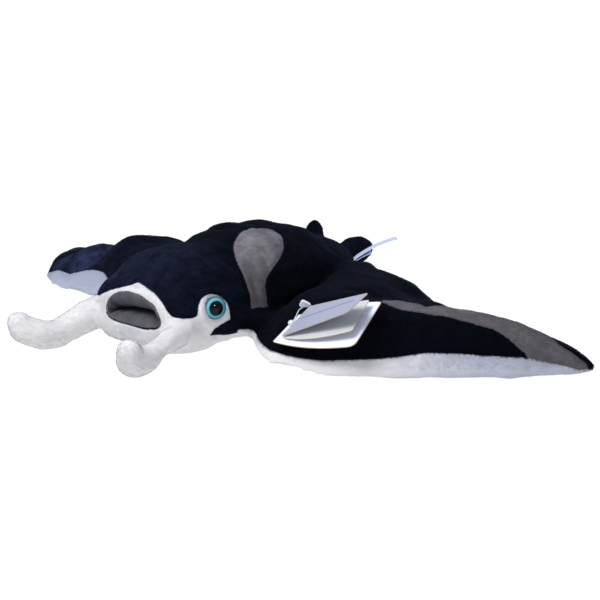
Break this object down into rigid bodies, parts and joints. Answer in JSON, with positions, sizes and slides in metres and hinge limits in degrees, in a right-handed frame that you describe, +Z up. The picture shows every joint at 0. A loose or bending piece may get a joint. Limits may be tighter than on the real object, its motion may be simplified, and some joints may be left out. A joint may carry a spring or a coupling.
{
  "type": "plush manta ray",
  "caption": "Stuffed plush toy of a manta ray lying flat on its belly, with spread wings, curled head fins, a slit mouth, plastic eyes, a short tail, a folded hang tag and a ribbon label.",
  "frame": {"origin": "middle of the underside of the whole toy's box, on the floor it lies on", "axes": "+Z up, -Y ahead of the toy towards its mouth, +X along the toy's left wing"},
  "size_m": [0.45, 0.318, 0.0667],
  "materials": {
    "black_plush": "short velour pile",
    "white_plush": "short velour pile",
    "grey_plush": "short velour pile",
    "eye_plastic": "gloss",
    "white_card": "satin",
    "clear_plastic": "translucent",
    "label_ribbon": "smooth woven ribbon"
  },
  "bodies": {
    "root": {"head": "black_plush", "trunk": "black_plush", "wing_left": "black_plush", "wing_right": "black_plush", "tail": "black_plush", "dorsal_fin": "black_plush", "pelvic_fin_left": "black_plush", "pelvic_fin_right": "black_plush", "horn_left": "white_plush", "horn_right": "white_plush", "mouth_lining_upper": "grey_plush", "mouth_lining_lower": "grey_plush", "eye_left": "eye_plastic", "eye_right": "eye_plastic", "tag_card": "white_card", "tag_leaf": "white_card", "tag_pin": "clear_plastic", "care_label_long": "label_ribbon", "care_label_short": "label_ribbon"}
  },
  "joints": []
}
